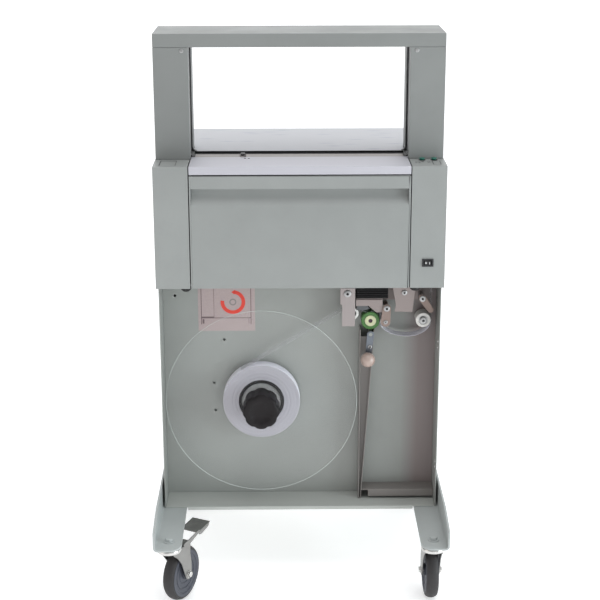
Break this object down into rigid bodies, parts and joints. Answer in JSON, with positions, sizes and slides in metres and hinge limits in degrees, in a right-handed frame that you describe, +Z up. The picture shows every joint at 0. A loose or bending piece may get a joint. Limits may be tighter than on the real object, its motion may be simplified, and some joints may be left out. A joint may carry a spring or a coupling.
{
  "type": "semi-automatic banding machine",
  "caption": "Floor-standing banding machine: arch over a steel work table, housing with sealing head, open cabinet with tape reel and feed rollers, swivel casters.",
  "frame": {"origin": "on the floor under the middle of the machine", "axes": "+X to the right as the operator sees it, +Y away from the operator to the back, +Z up"},
  "size_m": [0.62, 0.654, 1.19],
  "materials": {
    "painted_cover": "light grey-green fine-textured powder coat",
    "painted_cabinet": "light grey-green powder coat, slightly darker inside the cabinet",
    "table_steel": "brushed stainless sheet",
    "plate_steel": "bright plated steel",
    "zinc": "zinc-plated pressed steel",
    "cast": "grey painted casting",
    "black_plastic": "black moulded plastic",
    "white_plastic": "white acetal",
    "tape_paper": "white coated paper tape",
    "clear_sheet": "clear acrylic sheet",
    "green_urethane": "green polyurethane tread",
    "green_button": "dark green button cap",
    "tyre": "grey thermoplastic rubber tread"
  },
  "bodies": {
    "machine_frame": {"cabinet_left_wall": "painted_cabinet", "cabinet_right_wall": "painted_cabinet", "bottom_tray": "painted_cabinet", "back_plate": "painted_cabinet", "rear_cover": "painted_cabinet", "bay_divider": "painted_cabinet", "tape_box": "painted_cabinet", "upper_frame": "painted_cabinet", "left_side_cover": "painted_cover", "right_side_cover": "painted_cover", "rear_upper_cover": "painted_cover", "arch_left_upright": "painted_cover", "arch_right_upright": "painted_cover", "arch_header": "painted_cover", "foot_left": "painted_cover", "foot_right": "painted_cover", "front_table": "table_steel", "rear_table": "table_steel", "guide_bracket": "table_steel", "feed_plate": "table_steel", "slot_plate": "plate_steel", "sealing_head": "plate_steel", "reel_spindle": "plate_steel", "main_motor": "cast", "control_box": "cast", "feed_motor": "cast", "arch_track": "black_plastic", "track_bottom": "black_plastic", "switch_bezel": "black_plastic", "power_inlet": "black_plastic", "feed_solenoid": "black_plastic", "tape_loop": "tape_paper"},
    "front_door": {"front_cover": "painted_cover"},
    "press": {"press_head": "plate_steel"},
    "cam": {"cam_shaft": "plate_steel"},
    "start_key": {"start_button": "green_button"},
    "reset_key": {"reset_button": "green_button"},
    "rocker": {"power_rocker": "black_plastic"},
    "reel": {"reel_hub": "black_plastic", "tape_roll": "tape_paper", "clear_disc": "clear_sheet"},
    "reel_clamp": {"reel_knob": "black_plastic"},
    "guide_wheel": {"guide_roller": "white_plastic"},
    "loop_wheel": {"loop_roller": "white_plastic"},
    "feed_wheel": {"drive_roller": "green_urethane"},
    "pinch_lever": {"pinch_arm": "table_steel"},
    "pinch_wheel": {"pinch_roller": "white_plastic"},
    "loop_finger": {"loop_arm": "table_steel"},
    "hand_lever": {"tension_lever": "plate_steel", "lever_knob": "zinc"},
    "front_left_swivel": {"front_left_caster_fork": "zinc"},
    "front_left_wheel": {"front_left_caster_wheel": "tyre"},
    "front_left_brake": {"front_left_brake_pedal": "zinc"},
    "front_right_swivel": {"front_right_caster_fork": "zinc"},
    "front_right_wheel": {"front_right_caster_wheel": "tyre"},
    "front_right_brake": {"front_right_brake_pedal": "zinc"},
    "rear_left_swivel": {"rear_left_caster_fork": "zinc"},
    "rear_left_wheel": {"rear_left_caster_wheel": "tyre"},
    "rear_right_swivel": {"rear_right_caster_fork": "zinc"},
    "rear_right_wheel": {"rear_right_caster_wheel": "tyre"}
  },
  "joints": [
    {"name": "front_cover_tilt", "type": "hinge", "parent": "machine_frame", "child": "front_door", "pos_m": [0, -0.139, 0.6685], "axis": [1, 0, 0], "range_deg": [0, 75]},
    {"name": "cam_turn", "type": "hinge", "parent": "machine_frame", "child": "cam", "pos_m": [-0.1, 0, 0.76], "axis": [-1, 0, 0], "range_deg": [0, 180]},
    {"name": "press_lift", "type": "slide", "parent": "machine_frame", "child": "press", "axis": [0, 0, 1], "range_m": [0, 0.006]},
    {"name": "start_press", "type": "slide", "parent": "machine_frame", "child": "start_key", "axis": [0, 0, -1], "range_m": [0, 0.0025], "stiffness_N_per_m": 500, "springref_m": -0.001},
    {"name": "reset_press", "type": "slide", "parent": "machine_frame", "child": "reset_key", "axis": [0, 0, -1], "range_m": [0, 0.0025], "stiffness_N_per_m": 500, "springref_m": -0.001},
    {"name": "rocker_tilt", "type": "hinge", "parent": "machine_frame", "child": "rocker", "pos_m": [0.2678, -0.137, 0.722], "axis": [0, 0, 1], "range_deg": [0, 12]},
    {"name": "reel_spin", "type": "hinge", "parent": "machine_frame", "child": "reel", "pos_m": [-0.085, -0.063, 0.389], "axis": [0, 1, 0], "continuous": true},
    {"name": "reel_knob_turn", "type": "hinge", "parent": "reel", "child": "reel_clamp", "pos_m": [-0.085, -0.11, 0.389], "axis": [0, 1, 0], "continuous": true},
    {"name": "guide_roller_spin", "type": "hinge", "parent": "machine_frame", "child": "guide_wheel", "pos_m": [0.113, -0.062, 0.591], "axis": [0, 1, 0], "continuous": true},
    {"name": "drive_roller_spin", "type": "hinge", "parent": "machine_frame", "child": "feed_wheel", "pos_m": [0.153, -0.062, 0.5745], "axis": [0, 1, 0], "continuous": true},
    {"name": "pinch_arm_swing", "type": "hinge", "parent": "machine_frame", "child": "pinch_lever", "pos_m": [0.1875, -0.082, 0.604], "axis": [0, -1, 0], "range_deg": [0, 12]},
    {"name": "pinch_roller_spin", "type": "hinge", "parent": "pinch_lever", "child": "pinch_wheel", "pos_m": [0.1854, -0.062, 0.573], "axis": [0, 1, 0], "continuous": true},
    {"name": "loop_roller_spin", "type": "hinge", "parent": "machine_frame", "child": "loop_wheel", "pos_m": [0.2675, -0.062, 0.5755], "axis": [0, 1, 0], "continuous": true},
    {"name": "loop_arm_swing", "type": "hinge", "parent": "machine_frame", "child": "loop_finger", "pos_m": [0.2645, -0.082, 0.626], "axis": [0, 1, 0], "range_deg": [-8, 8]},
    {"name": "tension_lever_swing", "type": "hinge", "parent": "machine_frame", "child": "hand_lever", "pos_m": [0.153, -0.086, 0.546], "axis": [0, 1, 0], "range_deg": [-20, 20]},
    {"name": "front_left_caster_swivel", "type": "hinge", "parent": "machine_frame", "child": "front_left_swivel", "pos_m": [-0.28, -0.284, 0.14], "axis": [0, 0, 1], "continuous": true},
    {"name": "front_left_wheel_roll", "type": "hinge", "parent": "front_left_swivel", "child": "front_left_wheel", "pos_m": [-0.25912, -0.24301, 0.06], "axis": [0.891, -0.454, 0], "continuous": true},
    {"name": "front_left_brake_press", "type": "hinge", "parent": "front_left_swivel", "child": "front_left_brake", "pos_m": [-0.26093, -0.24658, 0.1395], "axis": [-0.891, 0.454, 0], "range_deg": [0, 8]},
    {"name": "front_right_caster_swivel", "type": "hinge", "parent": "machine_frame", "child": "front_right_swivel", "pos_m": [0.28, -0.284, 0.14], "axis": [0, 0, 1], "continuous": true},
    {"name": "front_right_wheel_roll", "type": "hinge", "parent": "front_right_swivel", "child": "front_right_wheel", "pos_m": [0.2792, -0.23801, 0.06], "axis": [0.9998, 0.0175, 0], "continuous": true},
    {"name": "front_right_brake_press", "type": "hinge", "parent": "front_right_swivel", "child": "front_right_brake", "pos_m": [0.27927, -0.24201, 0.1395], "axis": [-0.9998, -0.0175, 0], "range_deg": [0, 8]},
    {"name": "rear_left_caster_swivel", "type": "hinge", "parent": "machine_frame", "child": "rear_left_swivel", "pos_m": [-0.28, 0.284, 0.14], "axis": [0, 0, 1], "continuous": true},
    {"name": "rear_left_wheel_roll", "type": "hinge", "parent": "rear_left_swivel", "child": "rear_left_wheel", "pos_m": [-0.2728, 0.23857, 0.06], "axis": [-0.9877, -0.1564, 0], "continuous": true},
    {"name": "rear_right_caster_swivel", "type": "hinge", "parent": "machine_frame", "child": "rear_right_swivel", "pos_m": [0.28, 0.284, 0.14], "axis": [0, 0, 1], "continuous": true},
    {"name": "rear_right_wheel_roll", "type": "hinge", "parent": "rear_right_swivel", "child": "rear_right_wheel", "pos_m": [0.2736, 0.23845, 0.06], "axis": [-0.9903, 0.1392, 0], "continuous": true}
  ],
  "couplings": [
    {"joint": "cam_turn", "follows": "press_lift", "rad_per_m": 523.6}
  ]
}
